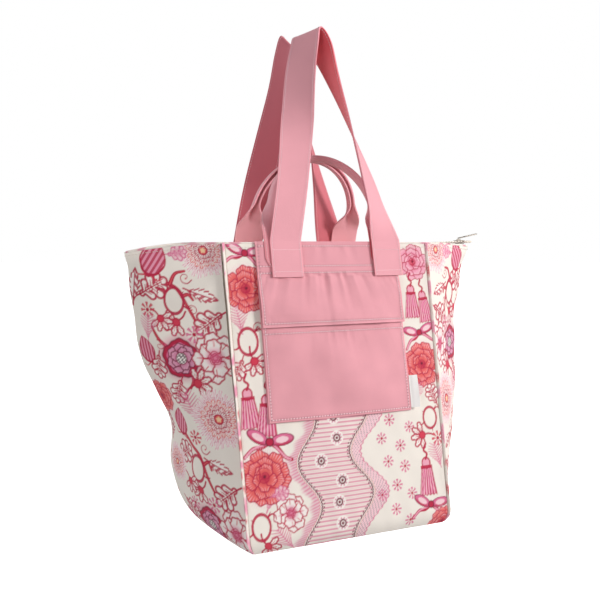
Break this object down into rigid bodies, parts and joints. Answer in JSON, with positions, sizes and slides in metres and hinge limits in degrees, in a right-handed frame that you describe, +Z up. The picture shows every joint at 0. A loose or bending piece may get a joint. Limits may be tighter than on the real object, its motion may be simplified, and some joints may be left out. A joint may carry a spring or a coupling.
{
  "type": "knitting bag",
  "caption": "Boxed fabric tote with drawn-out top corners, zip closure, flapped front pocket, long shoulder straps and short grab handles.",
  "frame": {"origin": "centre of the underside of the base, where the bag stands", "axes": "+Z up, +X to the right along the front, and the front with its pocket faces -Y"},
  "size_m": [0.5007, 0.2484, 0.6225],
  "materials": {
    "print": "woven cotton canvas with a floral print",
    "pink_canvas": "plain-weave canvas",
    "pink_webbing": "flat folded canvas strap",
    "cream_cotton": "plain lining cotton",
    "board": "flexible stiffener sheet",
    "zip_tape": "woven zip tape",
    "zip_metal": "satin grey-beige metal",
    "label": "plain woven tape, blank"
  },
  "bodies": {
    "bag": {"front_panel": "print", "back_panel": "print", "left_side_panel": "print", "right_side_panel": "print", "base_panel": "print", "front_left_seam_welt": "print", "front_right_seam_welt": "print", "back_left_seam_welt": "print", "back_right_seam_welt": "print", "pocket_backing": "pink_canvas", "flap_band": "pink_canvas", "pocket_pouch": "pink_canvas", "front_left_strap_end": "pink_webbing", "front_right_strap_end": "pink_webbing", "back_left_strap_end": "pink_webbing", "back_right_strap_end": "pink_webbing", "front_left_handle_end": "pink_webbing", "front_right_handle_end": "pink_webbing", "back_left_handle_end": "pink_webbing", "back_right_handle_end": "pink_webbing", "lining": "cream_cotton", "front_facing": "cream_cotton", "back_facing": "cream_cotton", "left_facing": "cream_cotton", "right_facing": "cream_cotton", "left_closure_gusset": "cream_cotton", "right_closure_gusset": "cream_cotton", "zip_end_tab": "cream_cotton", "base_board": "board", "front_zip_tail_tape": "zip_tape", "back_zip_tail_tape": "zip_tape", "front_zip_tail_teeth": "zip_metal", "back_zip_tail_teeth": "zip_metal", "zip_bottom_stop": "zip_metal", "side_label": "label"},
    "front_closure": {"front_closure_band": "cream_cotton", "front_zip_tape": "zip_tape", "front_zip_teeth": "zip_metal"},
    "back_closure": {"back_closure_band": "cream_cotton", "back_zip_tape": "zip_tape", "back_zip_teeth": "zip_metal"},
    "zip_slider": {"zip_slider": "zip_metal", "zip_pull_bail": "zip_metal"},
    "zip_pull": {"zip_pull": "zip_metal"},
    "pocket_flap": {"pocket_flap": "pink_canvas"},
    "front_shoulder_strap": {"front_shoulder_strap": "pink_webbing"},
    "back_shoulder_strap": {"back_shoulder_strap": "pink_webbing"},
    "front_grab_handle": {"front_grab_handle": "pink_webbing"},
    "back_grab_handle": {"back_grab_handle": "pink_webbing"}
  },
  "joints": [
    {"name": "zip_slide", "type": "slide", "parent": "bag", "child": "zip_slider", "axis": [-0.9994, 0, -0.0335], "range_m": [0, 0.352]},
    {"name": "zip_pull_swing", "type": "hinge", "parent": "zip_slider", "child": "zip_pull", "pos_m": [0.22668, 0, 0.3568], "axis": [0, -1, 0], "range_deg": [0, 145]},
    {"name": "front_closure_fold", "type": "hinge", "parent": "bag", "child": "front_closure", "pos_m": [-0.00004, -0.0457, 0.3448], "axis": [0.9994, 0, 0.0335], "range_deg": [-75, 0]},
    {"name": "back_closure_fold", "type": "hinge", "parent": "bag", "child": "back_closure", "pos_m": [-0.00004, 0.0457, 0.3448], "axis": [-0.9994, 0, -0.0335], "range_deg": [-75, 0]},
    {"name": "flap_open", "type": "hinge", "parent": "bag", "child": "pocket_flap", "pos_m": [0, -0.06485, 0.30751], "axis": [-1, 0, 0], "range_deg": [0, 140]},
    {"name": "front_strap_fold", "type": "hinge", "parent": "bag", "child": "front_shoulder_strap", "pos_m": [0, -0.05726, 0.35181], "axis": [-1, 0, 0], "range_deg": [-150, 0]},
    {"name": "back_strap_fold", "type": "hinge", "parent": "bag", "child": "back_shoulder_strap", "pos_m": [0, 0.05472, 0.35129], "axis": [1, 0, 0], "range_deg": [-150, 0]},
    {"name": "front_handle_fold", "type": "hinge", "parent": "bag", "child": "front_grab_handle", "pos_m": [0, -0.05079, 0.351], "axis": [-1, 0, 0], "range_deg": [0, 28]},
    {"name": "back_handle_fold", "type": "hinge", "parent": "bag", "child": "back_grab_handle", "pos_m": [0, 0.05079, 0.351], "axis": [-1, 0, 0], "range_deg": [-28, 0]}
  ]
}
